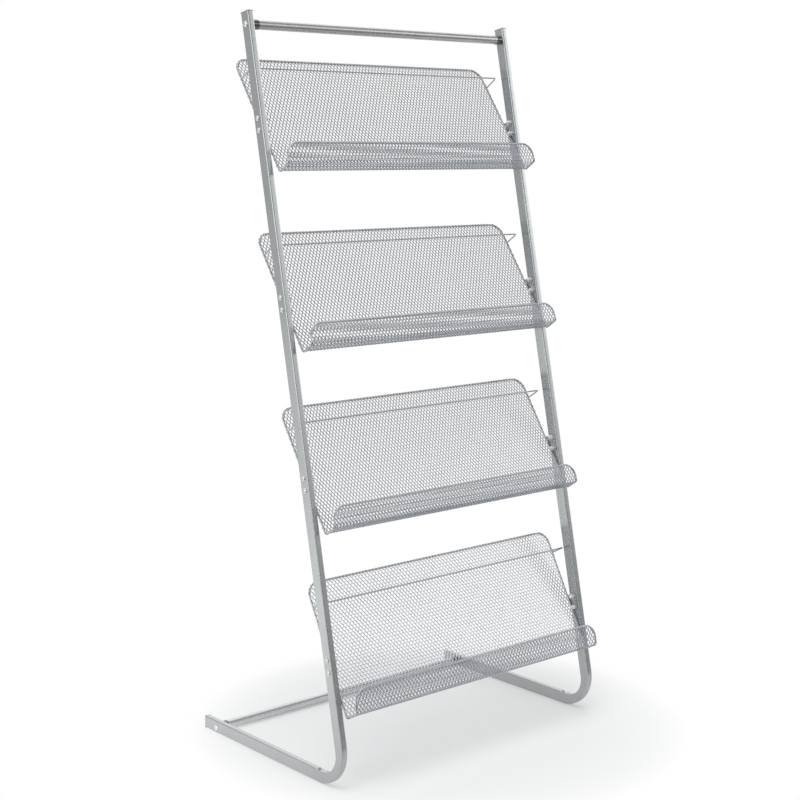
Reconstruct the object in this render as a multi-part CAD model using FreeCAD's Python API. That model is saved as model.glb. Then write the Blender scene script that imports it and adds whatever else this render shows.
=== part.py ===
import FreeCAD, Part
import math
import os

# Periodical display rack: two bent rectangular-tube side frames joined by two
# round crossbars, with four folded mesh trays bolted between the uprights.
# X runs across the rack (left is negative), the front is -Y, Z is up.
# The origin is under the middle of the whole rack, on the floor. Millimetres.

# ---------------------------------------------------------------- side frames
OVERALL_WIDTH = 686.0      # outer face to outer face of the two side frames
OVERALL_HEIGHT = 1462.0    # floor to the highest edge of the upright caps
LEG_DEPTH = 459.0          # front of the bend to the rear face of the leg cap
LEAN = 11.4                # uprights lean back from vertical, degrees
TUBE_W = 12.7              # tube size across the rack
TUBE_D = 25.4              # tube size fore and aft
TUBE_WALL = 1.2
TUBE_CORNER = 3.0          # outer corner radius of the tube section
BEND_R = 75.0              # outer radius of the floor bend

CAP_FLANGE = 1.2           # visible thickness of the tube end caps
CAP_CORNER = 0.8           # the caps' corners are sharper than the tube's
CAP_PLUG = 12.0            # depth of the cap's plug inside the tube
CAP_PLUG_WALL = 1.6
CAP_CLEAR = 0.1

# ---------------------------------------------------------------- crossbars
BAR_D = 18.5
BAR_WALL = 1.2
TOP_BAR_S = 1375.0         # along the upright's front face, from the bend
REAR_BAR_Y = 419.0         # behind the front of the bend
REAR_BAR_Z = 10.8          # above the floor
BUSH_D = 20.0
BUSH_LEN = 14.0            # collar showing between frame and bar
BUSH_PLUG = 16.0           # plug inside the bar
BUSH_CLEAR = 0.1
SCREW_HEAD_D = 12.0
SCREW_HEAD_H = 3.0
SCREW_REACH = 38.0         # shank length under the head

# ---------------------------------------------------------------- trays
TRAY_NAMES = ["bottom_tray", "lower_middle_tray", "upper_middle_tray", "top_tray"]
TRAY_FIRST = 150.0         # middle of the lowest pair of bolts, along the upright
TRAY_PITCH = 343.8
TRAY_TILT = [16.5, 21.6, 23.2, 23.2]   # back panel against the upright, degrees
BOLT_GAP = 23.4            # between the two bolts of a side
BOLT_T = 89.6              # lower bolt above the back fold, along the back panel
BOLT_F = 8.0               # lower bolt in front of the back panel
BACK_LEN = 263.0           # back fold to the rim wire at the top
SHELF_LEN = 34.0           # back fold to front fold
LIP_LEN = [45.0, 38.0, 38.0, 38.0]  # front fold to the rim wire along the lip, bottom tray first
LIP_FLARE = 18.0           # lip leans forward of the back panel, degrees
FOLD_R = 6.0
BACK_CORNER_R = 26.5
LIP_CORNER_R = 28.0
RIM_D = 4.0
PANEL_T = 1.0              # mesh panel, modelled as a plain sheet
TAB_T = 1.2
TAB_MARGIN = 6.0           # tab beyond its bolts, along the upright
TAB_FRONT = 7.0            # tab in front of the line of bolts
TAB_REAR = 2.0             # the same at the rim wire, above the upper bolt
TAB_CORNER = 4.0
KEEP_D = 3.2               # retaining wire in front of the back panel
KEEP_T = 215.5             # its height above the back fold
KEEP_OUT = 36.0            # its distance in front of the back panel
KEEP_BEND = 5.0
KEEP_BITE = 0.1            # weld bite of the retaining wire into the rim wire

# ---------------------------------------------------------------- fasteners
SHANK_D = 5.9
THREAD_BORE = 6.0
TUBE_HOLE = 6.5
TAB_HOLE = 6.4
BOLT_HEAD_D = 10.5
BOLT_HEAD_H = 3.3
SOCKET_AF = 3.0
SOCKET_DEPTH = 1.3
NUT_AF = 10.0
NUT_HEX = 5.0
NUT_H = 11.0
NUT_DOME_D = 9.4
NUT_BORE = 8.5

V = FreeCAD.Vector
th = math.radians(LEAN)
half_w = OVERALL_WIDTH / 2.0
inner_x = half_w - TUBE_W                    # inner face of a side frame
tab_in = inner_x - TAB_T                     # inner face of a tab
rim_x = tab_in - RIM_D / 2.0                 # rim wire axis along the sides
mid_n = -TUBE_D / 2.0
s_top = (OVERALL_HEIGHT - BEND_R * (1 + math.sin(th))) / math.cos(th)


def on_post(s, n):
    """A point beside the upright: s along its front face, n in front of it."""
    y = BEND_R - BEND_R * math.cos(th) + s * math.sin(th) - n * math.cos(th)
    z = BEND_R + BEND_R * math.sin(th) + s * math.cos(th) + n * math.sin(th)
    return y, z


def tray_place(i):
    """Back fold position (y, z) and lean from vertical in degrees of tray i."""
    be = math.radians(TRAY_TILT[i])
    s_low = TRAY_FIRST + i * TRAY_PITCH - BOLT_GAP / 2.0
    ds = BOLT_T * math.cos(be) + BOLT_F * math.sin(be)
    dn = -BOLT_T * math.sin(be) + BOLT_F * math.cos(be)
    y, z = on_post(s_low - ds, mid_n - dn)
    return y, z, LEAN + TRAY_TILT[i]


# middle of the rack front to back: the bottom tray's front fold is the
# foremost place and the leg caps are the rearmost
fold2 = math.radians(90.0 - LIP_FLARE)
set2 = FOLD_R * math.tan(fold2 / 2.0)
fy, fz, fl = tray_place(0)
fa = math.radians(fl)
cy, cz = -(SHELF_LEN - set2), FOLD_R
front_y = fy + cy * math.cos(fa) + cz * math.sin(fa) - FOLD_R - RIM_D / 2.0
MID_Y = (front_y + LEG_DEPTH) / 2.0


def out(name, shape):
    shape = shape.copy()
    shape.translate(V(0, -MID_Y, 0))
    ok = shape.isValid() and all(s.isValid() and s.isClosed() for s in shape.Solids)
    bb = shape.BoundBox
    print("%-34s solids %2d valid %s vol %9.1f mm3  box %7.1f %7.1f %7.1f  %7.1f %7.1f %7.1f" % (
        name, len(shape.Solids), ok, shape.Volume, bb.XMin, bb.YMin, bb.ZMin, bb.XMax, bb.YMax, bb.ZMax))
    shape.exportStep("parts/" + name + ".step")


def one(shape):
    """The single solid inside a boolean result."""
    shape = shape.removeSplitter()
    assert len(shape.Solids) == 1, len(shape.Solids)
    return shape.Solids[0]


def mirrored(shape):
    return shape.mirror(V(0, 0, 0), V(1, 0, 0))


def rod(d, x0, x1, y, z):
    """A cylinder along X."""
    return Part.makeCylinder(d / 2.0, abs(x1 - x0), V(min(x0, x1), y, z), V(1, 0, 0))


def rect_wire(x0, x1, z0, z1, r, y):
    """Rounded rectangle in the XZ plane at y."""
    k = r * (1 - math.sqrt(0.5))
    e = [
        Part.LineSegment(V(x0 + r, y, z0), V(x1 - r, y, z0)).toShape(),
        Part.Arc(V(x1 - r, y, z0), V(x1 - k, y, z0 + k), V(x1, y, z0 + r)).toShape(),
        Part.LineSegment(V(x1, y, z0 + r), V(x1, y, z1 - r)).toShape(),
        Part.Arc(V(x1, y, z1 - r), V(x1 - k, y, z1 - k), V(x1 - r, y, z1)).toShape(),
        Part.LineSegment(V(x1 - r, y, z1), V(x0 + r, y, z1)).toShape(),
        Part.Arc(V(x0 + r, y, z1), V(x0 + k, y, z1 - k), V(x0, y, z1 - r)).toShape(),
        Part.LineSegment(V(x0, y, z1 - r), V(x0, y, z0 + r)).toShape(),
        Part.Arc(V(x0, y, z0 + r), V(x0 + k, y, z0 + k), V(x0 + r, y, z0)).toShape(),
    ]
    return Part.Wire(e)


def tube_face(x0, x1, y):
    o = Part.Face(rect_wire(x0, x1, 0, TUBE_D, TUBE_CORNER, y))
    w = TUBE_WALL
    i = Part.Face(rect_wire(x0 + w, x1 - w, w, TUBE_D - w, TUBE_CORNER - w, y))
    return o.cut(i).Faces[0]


def bolt_spots(i):
    mid = TRAY_FIRST + i * TRAY_PITCH
    return [on_post(mid - BOLT_GAP / 2.0, mid_n), on_post(mid + BOLT_GAP / 2.0, mid_n)]


top_bar_yz = on_post(TOP_BAR_S, mid_n)
rear_bar_yz = (REAR_BAR_Y, REAR_BAR_Z)


def side_frame(x0, x1):
    """One tube: leg on the floor, bend, upright leaning back."""
    face = tube_face(x0, x1, BEND_R)
    leg = face.extrude(V(0, LEG_DEPTH - CAP_FLANGE - BEND_R, 0))
    turn = 90.0 + LEAN
    bend = face.revolve(V(0, BEND_R, BEND_R), V(-1, 0, 0), turn)
    up = face.copy()
    up.rotate(V(0, BEND_R, BEND_R), V(-1, 0, 0), turn)
    length = s_top - CAP_FLANGE
    post = up.extrude(V(0, math.sin(th) * length, math.cos(th) * length))
    frame = leg.fuse([bend, post]).removeSplitter()
    holes = [rod(TUBE_HOLE, x0 - 5, x1 + 5, y, z) for y, z in [top_bar_yz, rear_bar_yz]]
    for i in range(4):
        holes += [rod(TUBE_HOLE, x0 - 5, x1 + 5, y, z) for y, z in bolt_spots(i)]
    return one(frame.cut(holes))


def cap(x0, x1):
    """Cap lying at a leg's rear end: flange outside, hollow plug inside."""
    y0 = LEG_DEPTH - CAP_FLANGE
    flange = Part.Face(rect_wire(x0, x1, 0, TUBE_D, CAP_CORNER, y0)).extrude(V(0, CAP_FLANGE, 0))
    w = TUBE_WALL + CAP_CLEAR
    body = Part.Face(rect_wire(x0 + w, x1 - w, w, TUBE_D - w, TUBE_CORNER - w, y0)).extrude(V(0, -CAP_PLUG, 0))
    q = w + CAP_PLUG_WALL
    core = Part.Face(rect_wire(x0 + q, x1 - q, q, TUBE_D - q, 0.5, y0 - CAP_PLUG)).extrude(V(0, CAP_PLUG - 1.0, 0))
    return one(flange.fuse(body).cut(core))


def to_top(shape):
    """Moves a cap from the leg's rear end to the upright's top end."""
    s = shape.copy()
    # the leg's rear end looks along +Y with the floor side down; at the top the
    # tube looks along the upright with the same face on the outside of the bend
    s.translate(V(0, -LEG_DEPTH, 0))
    y, z = on_post(s_top, 0)
    s.rotate(V(0, 0, 0), V(1, 0, 0), 90.0 - LEAN)
    s2 = s.copy()
    # after the turn the tube's floor face looks back; spin half round the tube's own axis
    s2.rotate(V(0, 0, 0), V(0, math.sin(th), math.cos(th)), 180.0)
    c = (s.BoundBox.XMin + s.BoundBox.XMax) / 2.0
    s2.translate(V(2 * c, 0, 0))
    s2.translate(V(0, y, z))
    return s2


left = side_frame(-half_w, -inner_x)
right = side_frame(inner_x, half_w)


def hex_prism(af, x0, x1, y, z, turn=0.0):
    r = af / math.sqrt(3.0)
    pts = []
    for k in range(7):
        a = math.radians(60 * k + turn)
        pts.append(V(x0, y + r * math.cos(a), z + r * math.sin(a)))
    return Part.Face(Part.makePolygon(pts)).extrude(V(x1 - x0, 0, 0))


def turned(profile, y, z):
    """Solid of revolution about the X axis line at (y, z); profile is (x, r) points or arcs."""
    edges = []
    for seg in profile:
        pts = [V(p[0], y + p[1], z) for p in seg]
        if len(pts) == 2:
            edges.append(Part.LineSegment(pts[0], pts[1]).toShape())
        else:
            edges.append(Part.Arc(pts[0], pts[1], pts[2]).toShape())
    face = Part.Face(Part.Wire(edges))
    s = face.revolve(V(0, y, z), V(1, 0, 0), 360)
    return s if s.ShapeType == "Solid" else s.Solids[0]


def domed(x_base, rise, d, up):
    """Arc of a low dome: base circle of diameter d at x_base, rise high towards up."""
    r = d / 2.0
    big = (r * r + rise * rise) / (2 * rise)
    cx = x_base + up * (rise - big)
    a = math.asin(r / big) / 2.0
    return [(x_base, r), (cx + up * big * math.cos(a), big * math.sin(a)), (x_base + up * rise, 0.0)]


def button_screw(y, z, side, head_d, head_h, reach, gap_x):
    """Screw through a side frame from outside. side is -1 left, +1 right."""
    x0 = side * gap_x
    rim = 0.7
    arc = domed(x0 + side * rim, head_h - rim, head_d, side)
    prof = [
        [(x0, 0.0), (x0, head_d / 2.0)],
        [(x0, head_d / 2.0), (x0 + side * rim, head_d / 2.0)],
        arc,
        [(x0 + side * head_h, 0.0), (x0, 0.0)],
    ]
    head = turned(prof, y, z)
    shank = rod(SHANK_D, x0 - side * reach, x0 + side * 0.5, y, z)
    socket = hex_prism(SOCKET_AF, x0 + side * (head_h - SOCKET_DEPTH), x0 + side * (head_h + 1), y, z)
    return one(head.fuse(shank).cut(socket))


def cap_nut(y, z, side, turn):
    """Domed cap nut on the inner face of a tab, opening outwards."""
    x0 = side * tab_in
    hexa = hex_prism(NUT_AF, x0, x0 - side * NUT_HEX, y, z, turn)
    # chamfer the hexagon's two ends
    rc = NUT_AF / 2.0 + 0.15
    e = NUT_AF / math.sqrt(3.0) + 0.3
    barrel = turned([
        [(x0, 0), (x0, rc)],
        [(x0, rc), (x0 - side * 0.55, e)],
        [(x0 - side * 0.55, e), (x0 - side * (NUT_HEX - 0.55), e)],
        [(x0 - side * (NUT_HEX - 0.55), e), (x0 - side * NUT_HEX, rc)],
        [(x0 - side * NUT_HEX, rc), (x0 - side * NUT_HEX, 0)],
        [(x0 - side * NUT_HEX, 0), (x0, 0)],
    ], y, z)
    hexa = hexa.common(barrel)
    neck = NUT_H - NUT_DOME_D / 2.0
    rd = NUT_DOME_D / 2.0
    k = rd * math.sqrt(0.5)
    dome = turned([
        [(x0 - side * (NUT_HEX - 0.5), 0), (x0 - side * (NUT_HEX - 0.5), rd)],
        [(x0 - side * (NUT_HEX - 0.5), rd), (x0 - side * neck, rd)],
        [(x0 - side * neck, rd), (x0 - side * (neck + k), k), (x0 - side * NUT_H, 0)],
        [(x0 - side * NUT_H, 0), (x0 - side * (NUT_HEX - 0.5), 0)],
    ], y, z)
    bore = rod(THREAD_BORE, x0 + side, x0 - side * NUT_BORE, y, z)
    return one(hexa.fuse(dome).cut(bore))


def bushing(y, z, side):
    """Plastic end bushing: collar against the frame, plug inside the bar."""
    a = side * inner_x
    b = side * (inner_x - BUSH_LEN)
    c = side * (inner_x - BUSH_LEN - BUSH_PLUG)
    ch = 0.6
    r = BUSH_D / 2.0
    p = BAR_D / 2.0 - BAR_WALL - BUSH_CLEAR
    body = turned([
        [(a, 0), (a, r - ch)],
        [(a, r - ch), (a - side * ch, r)],
        [(a - side * ch, r), (b + side * ch, r)],
        [(b + side * ch, r), (b, r - ch)],
        [(b, r - ch), (b, p)],
        [(b, p), (c + side, p)],
        [(c + side, p), (c, p - 1)],
        [(c, p - 1), (c, 0)],
        [(c, 0), (a, 0)],
    ], y, z)
    return one(body.cut(rod(THREAD_BORE, a + side, c - side, y, z)))


def bar(y, z):
    x = inner_x - BUSH_LEN
    return one(rod(BAR_D, -x, x, y, z).cut(rod(BAR_D - 2 * BAR_WALL, -x - 1, x + 1, y, z)))


# ---------------------------------------------------------------- tray parts
# A tray is drawn upright: back panel in the XZ plane at Y = 0, back fold at
# Z = 0, front towards -Y. place() then leans it back and puts it on its bolts.
sf, cf = math.sin(math.radians(LIP_FLARE)), math.cos(math.radians(LIP_FLARE))
lip_dir = (-sf, cf)
corner2 = (-SHELF_LEN, 0.0)


def lip_pt(x, d, o=0.0):
    """On the lip: d up from the front fold, o outwards of it."""
    return V(x, corner2[0] + d * lip_dir[0] - o * cf, corner2[1] + d * lip_dir[1] - o * sf)


def place(shape, i):
    y, z, lean = tray_place(i)
    s = shape.copy()
    s.rotate(V(0, 0, 0), V(1, 0, 0), -lean)
    s.translate(V(0, y, z))
    return s


def arc_yz(x, c, r, a0, a1):
    """Arc in a plane of constant x about (y, z) = c, angles in degrees."""
    pts = []
    for a in (a0, (a0 + a1) / 2.0, a1):
        t = math.radians(a)
        pts.append(V(x, c[0] + r * math.cos(t), c[1] + r * math.sin(t)))
    return Part.Arc(*pts).toShape(), pts


def bent_wire(points, radii, d, closed):
    """Round wire along straight runs joined by arcs; radii[k] belongs to points[k]."""
    n = len(points)
    solids = []
    starts, ends = [None] * n, [None] * n
    for k in range(n):
        p, r = points[k], radii[k]
        if not closed and k in (0, n - 1):
            starts[k] = ends[k] = p
            continue
        u = (points[k - 1] - p).normalize()
        w = (points[(k + 1) % n] - p).normalize()
        ang = u.getAngle(w)
        cut = r / math.tan(ang / 2.0)
        starts[k], ends[k] = p + u * cut, p + w * cut
        c = p + (u + w).normalize() * (r / math.sin(ang / 2.0))
        axis = (starts[k] - c).cross(ends[k] - c).normalize()
        disc = Part.Face(Part.Wire([Part.makeCircle(d / 2.0, starts[k], u)]))
        s = disc.revolve(c, axis, 180.0 - math.degrees(ang))
        solids.append(s if s.Volume > 0 else s.reversed())
    for k in range(n if closed else n - 1):
        a, b = ends[k], starts[(k + 1) % n]
        solids.append(Part.makeCylinder(d / 2.0, (b - a).Length, a, b - a))
    return one(solids[0].fuse(solids[1:]))


def rim_wire(lip_len):
    hw = rim_x
    half = [
        (V(hw, 0, BACK_LEN), BACK_CORNER_R),
        (V(hw, 0, 0), FOLD_R),
        (V(hw, -SHELF_LEN, 0), FOLD_R),
        (lip_pt(hw, lip_len), LIP_CORNER_R),
    ]
    other = [(V(-p.x, p.y, p.z), r) for p, r in reversed(half)]
    loop = half + other
    return bent_wire([p for p, r in loop], [r for p, r in loop], RIM_D, True)


def retaining_wire():
    hw = rim_x
    y0 = -(RIM_D / 2.0 - KEEP_BITE)
    pts = [V(hw, y0, KEEP_T), V(hw, -KEEP_OUT, KEEP_T), V(-hw, -KEEP_OUT, KEEP_T), V(-hw, y0, KEEP_T)]
    return bent_wire(pts, [0, KEEP_BEND, KEEP_BEND, 0], KEEP_D, False)


def panel(lip_len):
    x = rim_x - RIM_D / 2.0
    end = RIM_D / 2.0
    c1 = (-FOLD_R, FOLD_R)
    c2 = (-(SHELF_LEN - set2), FOLD_R)

    def side(o):
        e = []
        a, p = arc_yz(-x, c1, FOLD_R + o, 0, -90)
        b, p2 = arc_yz(-x, c2, FOLD_R + o, -90, -90 - math.degrees(fold2))
        top = V(-x, o, BACK_LEN - end)
        tip = lip_pt(-x, lip_len - end, o)
        e.append(Part.LineSegment(top, p[0]).toShape())
        e.append(a)
        e.append(Part.LineSegment(p[2], p2[0]).toShape())
        e.append(b)
        e.append(Part.LineSegment(p2[2], tip).toShape())
        return e, top, tip

    h = PANEL_T / 2.0
    e1, t1, l1 = side(h)
    e2, t2, l2 = side(-h)
    edges = e1 + [Part.LineSegment(l1, l2).toShape()] + e2 + [Part.LineSegment(t2, t1).toShape()]
    wire = Part.Wire(Part.__sortEdges__(edges))
    sheet = Part.Face(wire).extrude(V(2 * x, 0, 0))

    def corner(r):
        """Flat cutter for a rounded corner at (x, 0), r wide, lying in XZ."""
        box = Part.makeBox(r + 2, 12, r + 2, V(x - r, -6, -r))
        cyl = Part.makeCylinder(r, 14, V(x - r, -7, -r), V(0, 1, 0))
        return box.cut(cyl)

    up = corner(BACK_CORNER_R - end)
    up.translate(V(0, 0, BACK_LEN - end))
    lip = corner(LIP_CORNER_R - end)
    lip.rotate(V(0, 0, 0), V(1, 0, 0), LIP_FLARE)
    tip = lip_pt(0, lip_len - end)
    lip.translate(V(0, tip.y, tip.z))
    return one(sheet.cut([up, mirrored(up), lip, mirrored(lip)]))


def rounded(points, r):
    """Closed wire round a convex polygon of vectors with rounded corners."""
    n = len(points)
    ends = []
    for k in range(n):
        p, a, b = points[k], points[k - 1], points[(k + 1) % n]
        u = (a - p).normalize()
        w = (b - p).normalize()
        ang = u.getAngle(w)
        d = r / math.tan(ang / 2.0)
        bis = (u + w).normalize()
        c = p + bis * (r / math.sin(ang / 2.0))
        ends.append((p + u * d, c - bis * r, p + w * d))
    e = []
    for k in range(n):
        s, m, t = ends[k]
        e.append(Part.Arc(s, m, t).toShape())
        e.append(Part.LineSegment(t, ends[(k + 1) % n][0]).toShape())
    return Part.Wire(e)


def tab(i, side):
    """Flat tab welded to the side of the rim wire, with the tray's two bolt holes."""
    be = math.radians(TRAY_TILT[i])
    sb, cb = math.sin(be), math.cos(be)
    x0 = tab_in if side > 0 else -inner_x

    def local(ds, dn):
        t = BOLT_T + ds * cb - dn * sb
        f = BOLT_F + ds * sb + dn * cb
        return V(x0, -f, t)

    rear = -2.6
    m = TAB_MARGIN

    def back(ds):
        return (rear - BOLT_F - ds * sb) / cb

    pts = [local(-m, TAB_FRONT), local(BOLT_GAP + m, TAB_FRONT), local(BOLT_GAP + TAB_REAR, back(BOLT_GAP + TAB_REAR)), local(-m, back(-m))]
    plate = Part.Face(rounded(pts, TAB_CORNER)).extrude(V(TAB_T, 0, 0))
    h = []
    for ds in (0.0, BOLT_GAP):
        p = local(ds, 0.0)
        h.append(rod(TAB_HOLE, x0 - 2, x0 + TAB_T + 2, p.y, p.z))
    return one(plate.cut(h))


os.makedirs("parts", exist_ok=True)
out("left_side_frame", left)
out("right_side_frame", right)
lcap, rcap = cap(-half_w, -inner_x), cap(inner_x, half_w)
out("left_leg_cap", lcap)
out("right_leg_cap", rcap)
out("left_upright_cap", to_top(lcap))
out("right_upright_cap", to_top(rcap))
for name, (y, z) in (("top_crossbar", top_bar_yz), ("rear_crossbar", rear_bar_yz)):
    out(name, bar(y, z))
    out(name + "_left_bushing", bushing(y, z, -1))
    out(name + "_right_bushing", bushing(y, z, 1))
    out(name + "_screws", Part.makeCompound([
        button_screw(y, z, s, SCREW_HEAD_D, SCREW_HEAD_H, SCREW_REACH, half_w) for s in (-1, 1)]))

keep_shape = retaining_wire()
reach = TUBE_W + TAB_T + NUT_BORE - 0.6
for i, name in enumerate(TRAY_NAMES):
    out(name + "_mesh_panel", place(panel(LIP_LEN[i]), i))
    out(name + "_rim_wire", place(rim_wire(LIP_LEN[i]), i))
    out(name + "_retaining_wire", place(keep_shape, i))
    out(name + "_left_tab", place(tab(i, -1), i))
    out(name + "_right_tab", place(tab(i, 1), i))
    out(name + "_bolts", Part.makeCompound([
        button_screw(y, z, s, BOLT_HEAD_D, BOLT_HEAD_H, reach, half_w) for s in (-1, 1) for y, z in bolt_spots(i)]))
    # one pair of the nut's flats lies along the rim wire beside it
    turn = 90.0 - (LEAN + TRAY_TILT[i]) + 30.0
    out(name + "_cap_nuts", Part.makeCompound([
        cap_nut(y, z, s, turn) for s in (-1, 1) for y, z in bolt_spots(i)]))
print("mid y", MID_Y, "upright length", s_top, "front", front_y)
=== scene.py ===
import math

import bpy
import numpy as np
from mathutils import Matrix, Vector


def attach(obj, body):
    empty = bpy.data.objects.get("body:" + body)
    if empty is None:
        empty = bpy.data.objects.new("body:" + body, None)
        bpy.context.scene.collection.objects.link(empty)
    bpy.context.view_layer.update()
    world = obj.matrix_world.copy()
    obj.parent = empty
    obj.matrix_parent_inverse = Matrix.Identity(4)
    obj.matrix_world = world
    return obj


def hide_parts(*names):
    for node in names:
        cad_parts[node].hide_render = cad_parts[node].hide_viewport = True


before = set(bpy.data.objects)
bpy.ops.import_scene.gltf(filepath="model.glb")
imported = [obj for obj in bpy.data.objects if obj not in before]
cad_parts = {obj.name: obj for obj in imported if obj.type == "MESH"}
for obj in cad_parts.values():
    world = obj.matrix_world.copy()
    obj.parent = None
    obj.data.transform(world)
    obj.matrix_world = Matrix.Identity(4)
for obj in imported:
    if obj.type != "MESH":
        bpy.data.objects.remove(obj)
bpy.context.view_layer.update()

# Everything below is worked out in millimetres, with x across the rack, y = 0
# at the front of the floor bends (growing backwards) and z = 0 on the floor.
# put() turns that into metres in the frame's own place.

# ------------------------------------------------------------------ dimensions
WIDTH, HEIGHT, LEG = 686.0, 1462.0, 459.0
TH = math.radians(11.4)
TW, TD, TR = 12.7, 25.4, 3.0
BEND = 75.0
CAP_T, CAP_R = 1.2, 0.8
HALF = WIDTH / 2
INNER = HALF - TW
MID_N = -TD / 2
S_TOP = (HEIGHT - BEND * (1 + math.sin(TH))) / math.cos(TH)
BAR_D, BAR_S, BAR_Y, BAR_Z = 18.5, 1375.0, 419.0, 10.8
BUSH_D, BUSH_L, BUSH_PLUG = 20.0, 14.0, 16.0
TRAYS = ["bottom_tray", "lower_middle_tray", "upper_middle_tray", "top_tray"]
TILT = [16.5, 21.6, 23.2, 23.2]
FIRST, PITCH, GAP = 150.0, 343.8, 23.4
BOLT_T, BOLT_F = 89.6, 8.0
BACK, SHELF, FLARE = 263.0, 34.0, math.radians(18.0)
LIPS = [45.0, 38.0, 38.0, 38.0]
FOLD, R_BACK, R_LIP = 6.0, 26.5, 28.0
RIM = 2.0
TAB = 1.2
TAB_IN = INNER - TAB
RIM_X = TAB_IN - RIM
KEEP, KEEP_T, KEEP_OUT, KEEP_BEND = 1.6, 215.5, 36.0, 5.0
SET2 = FOLD * math.tan((math.pi / 2 - FLARE) / 2)


def on_post(s, n):
    y = BEND - BEND * math.cos(TH) + s * math.sin(TH) - n * math.cos(TH)
    z = BEND + BEND * math.sin(TH) + s * math.cos(TH) + n * math.sin(TH)
    return y, z


def tray_place(i):
    be = math.radians(TILT[i])
    s = FIRST + i * PITCH - GAP / 2
    ds = BOLT_T * math.cos(be) + BOLT_F * math.sin(be)
    dn = -BOLT_T * math.sin(be) + BOLT_F * math.cos(be)
    y, z = on_post(s - ds, MID_N - dn)
    return y, z, TH + be


MID_Y = 217.01041851565162


def to_world(v):
    v = np.asarray(v, float).reshape(-1, 3).copy()
    v[:, 1] -= MID_Y
    return v / 1000.0


def lean(i, v):
    """Tray coordinates (x, behind the back panel, up it) to the rack's."""
    y, z, a = tray_place(i)
    v = np.asarray(v, float).reshape(-1, 3)
    c, s = math.cos(a), math.sin(a)
    return np.stack([v[:, 0], y + v[:, 1] * c + v[:, 2] * s, z - v[:, 1] * s + v[:, 2] * c], 1)


# ------------------------------------------------------------------- materials
def material(name):
    m = bpy.data.materials.new(name)
    m.use_nodes = True
    nt = m.node_tree
    nt.nodes.clear()
    o = nt.nodes.new("ShaderNodeOutputMaterial")
    p = nt.nodes.new("ShaderNodeBsdfPrincipled")
    nt.links.new(p.outputs[0], o.inputs[0])
    return m, nt, p


def noise(nt, scale, detail=3.0, rough=0.5, vec=None):
    n = nt.nodes.new("ShaderNodeTexNoise")
    n.inputs["Scale"].default_value = scale
    n.inputs["Detail"].default_value = detail
    n.inputs["Roughness"].default_value = rough
    if vec is not None:
        nt.links.new(vec, n.inputs["Vector"])
    return n


def ramp(nt, src, stops):
    r = nt.nodes.new("ShaderNodeValToRGB")
    while len(r.color_ramp.elements) < len(stops):
        r.color_ramp.elements.new(0.5)
    for e, (p, c) in zip(r.color_ramp.elements, stops):
        e.position = p
        e.color = (c[0], c[1], c[2], 1.0)
    nt.links.new(src, r.inputs[0])
    return r


def spread(nt, src, a, b, lo=0.3, hi=0.7):
    m = nt.nodes.new("ShaderNodeMapRange")
    m.inputs["From Min"].default_value = lo
    m.inputs["From Max"].default_value = hi
    m.inputs["To Min"].default_value = a
    m.inputs["To Max"].default_value = b
    nt.links.new(src, m.inputs["Value"])
    return m.outputs[0]


def bump(nt, p, height, strength, distance):
    b = nt.nodes.new("ShaderNodeBump")
    b.inputs["Strength"].default_value = strength
    b.inputs["Distance"].default_value = distance
    nt.links.new(height, b.inputs["Height"])
    nt.links.new(b.outputs[0], p.inputs["Normal"])
    return b


def coords(nt):
    return nt.nodes.new("ShaderNodeTexCoord").outputs["Object"]


def silver(name, base, metallic, rough, coat, orange=0.10, vary=0.035, coat_rough=0.12):
    """Silver-grey powder coat: fine metal flake, faint orange peel, slight unevenness."""
    m, nt, p = material(name)
    c = coords(nt)
    big = noise(nt, 14.0, 3.0, 0.55, c)
    flake = nt.nodes.new("ShaderNodeTexVoronoi")
    flake.inputs["Scale"].default_value = 1900.0
    nt.links.new(c, flake.inputs["Vector"])
    mix = nt.nodes.new("ShaderNodeMix")
    mix.data_type = "FLOAT"
    mix.inputs["Factor"].default_value = 0.35
    nt.links.new(big.outputs[0], mix.inputs[2])
    fl = nt.nodes.new("ShaderNodeSeparateColor")
    nt.links.new(flake.outputs["Color"], fl.inputs[0])
    nt.links.new(fl.outputs[0], mix.inputs[3])
    d = [max(0.0, v * (1 - vary * 3)) for v in base]
    l = [min(1.0, v * (1 + vary * 3)) for v in base]
    r = ramp(nt, mix.outputs[0], [(0.25, d), (0.75, l)])
    nt.links.new(r.outputs[0], p.inputs["Base Color"])
    p.inputs["Metallic"].default_value = metallic
    mid = noise(nt, 60.0, 4.0, 0.6, c)
    nt.links.new(spread(nt, mid.outputs[0], rough - 0.04, rough + 0.05), p.inputs["Roughness"])
    p.inputs["Coat Weight"].default_value = coat
    p.inputs["Coat Roughness"].default_value = coat_rough
    peel = noise(nt, 520.0, 2.0, 0.5, c)
    bump(nt, p, peel.outputs[0], orange, 0.0004)
    return m


def plated(name, base, rough, metallic=1.0):
    """Bright zinc plate with faint handling marks."""
    m, nt, p = material(name)
    c = coords(nt)
    n = noise(nt, 420.0, 4.0, 0.6, c)
    r = ramp(nt, n.outputs[0], [(0.3, [v * 0.93 for v in base]), (0.7, base)])
    nt.links.new(r.outputs[0], p.inputs["Base Color"])
    p.inputs["Metallic"].default_value = metallic
    nt.links.new(spread(nt, n.outputs[0], rough * 0.8, rough * 1.35), p.inputs["Roughness"])
    fine = noise(nt, 2400.0, 2.0, 0.5, c)
    bump(nt, p, fine.outputs[0], 0.06, 0.0002)
    return m


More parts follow.
